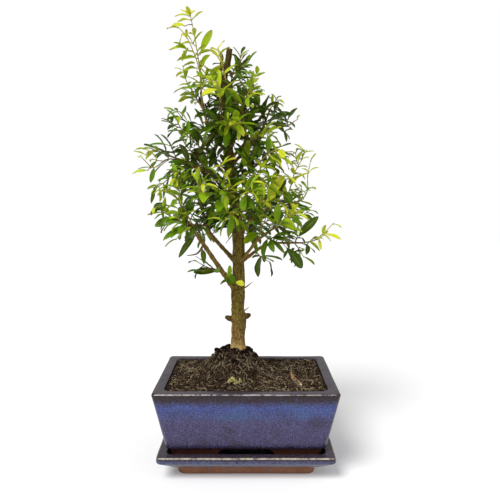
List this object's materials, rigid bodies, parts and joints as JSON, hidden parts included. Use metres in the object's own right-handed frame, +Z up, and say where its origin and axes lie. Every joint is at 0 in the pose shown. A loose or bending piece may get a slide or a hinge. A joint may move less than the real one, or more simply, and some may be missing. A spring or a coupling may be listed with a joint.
{
  "type": "pomegranate bonsai",
  "caption": "Potted pomegranate bonsai: spiny upright trunk, leafy shoots, peaty soil, glazed rectangular pot with clay feet, on a glazed saucer.",
  "frame": {"origin": "middle of the saucer's flat underside, on the surface that the saucer stands on", "axes": "+Z up along the trunk, +X along the pot's long side to the viewer's right, +Y away from the viewer"},
  "size_m": [0.2373, 0.1922, 0.5059],
  "materials": {
    "pot_glaze": "glossy blue-violet glaze over clay, brown at the edges",
    "saucer_glaze": "glossy dark violet-brown glaze, bare clay base",
    "screen": "matt",
    "soil": "crumbly peat with fibres",
    "bark": "rough bark",
    "leaf": "glossy green leaves on green and brown twigs",
    "dry_leaf": "matt, dry"
  },
  "bodies": {
    "root": {"drain_screen_left": "screen", "drain_screen_right": "screen", "fallen_leaf": "dry_leaf", "pot": "pot_glaze", "saucer": "saucer_glaze", "soil": "soil", "spray_centre_front": "leaf", "spray_centre_right": "leaf", "spray_crown_left": "leaf", "spray_crown_rear": "leaf", "spray_crown_right": "leaf", "spray_front_high_right": "leaf", "spray_front_high_tip": "leaf", "spray_front_low_left": "leaf", "spray_front_low_tip": "leaf", "spray_front_mid_tip": "leaf", "spray_front_mid_up": "leaf", "spray_front_top": "leaf", "spray_front_top_right": "leaf", "spray_front_upper": "leaf", "spray_high_right_low": "leaf", "spray_high_right_tip": "leaf", "spray_high_right_upright": "leaf", "spray_left_arching": "leaf", "spray_left_centre": "leaf", "spray_left_far": "leaf", "spray_left_hanging": "leaf", "spray_left_inner": "leaf", "spray_left_lowest": "leaf", "spray_left_middle": "leaf", "spray_left_outer": "leaf", "spray_left_rear": "leaf", "spray_left_tip": "leaf", "spray_left_upright": "leaf", "spray_outer_right_tip": "leaf", "spray_rear_high_left": "leaf", "spray_rear_high_tip": "leaf", "spray_rear_low_right": "leaf", "spray_rear_low_tip": "leaf", "spray_rear_mid_side": "leaf", "spray_rear_mid_tip": "leaf", "spray_right_far": "leaf", "spray_right_front": "leaf", "spray_right_hanging": "leaf", "spray_right_inner": "leaf", "spray_right_low_inner": "leaf", "spray_right_middle": "leaf", "spray_right_outer": "leaf", "spray_right_rear": "leaf", "spray_right_spray": "leaf", "spray_right_tall": "leaf", "spray_top_left": "leaf", "spray_top_second": "leaf", "spray_top_tall": "leaf", "spray_trunk_low": "leaf", "spray_upper_left": "leaf", "spray_upper_left_low": "leaf", "trunk": "bark"}
  },
  "joints": []
}
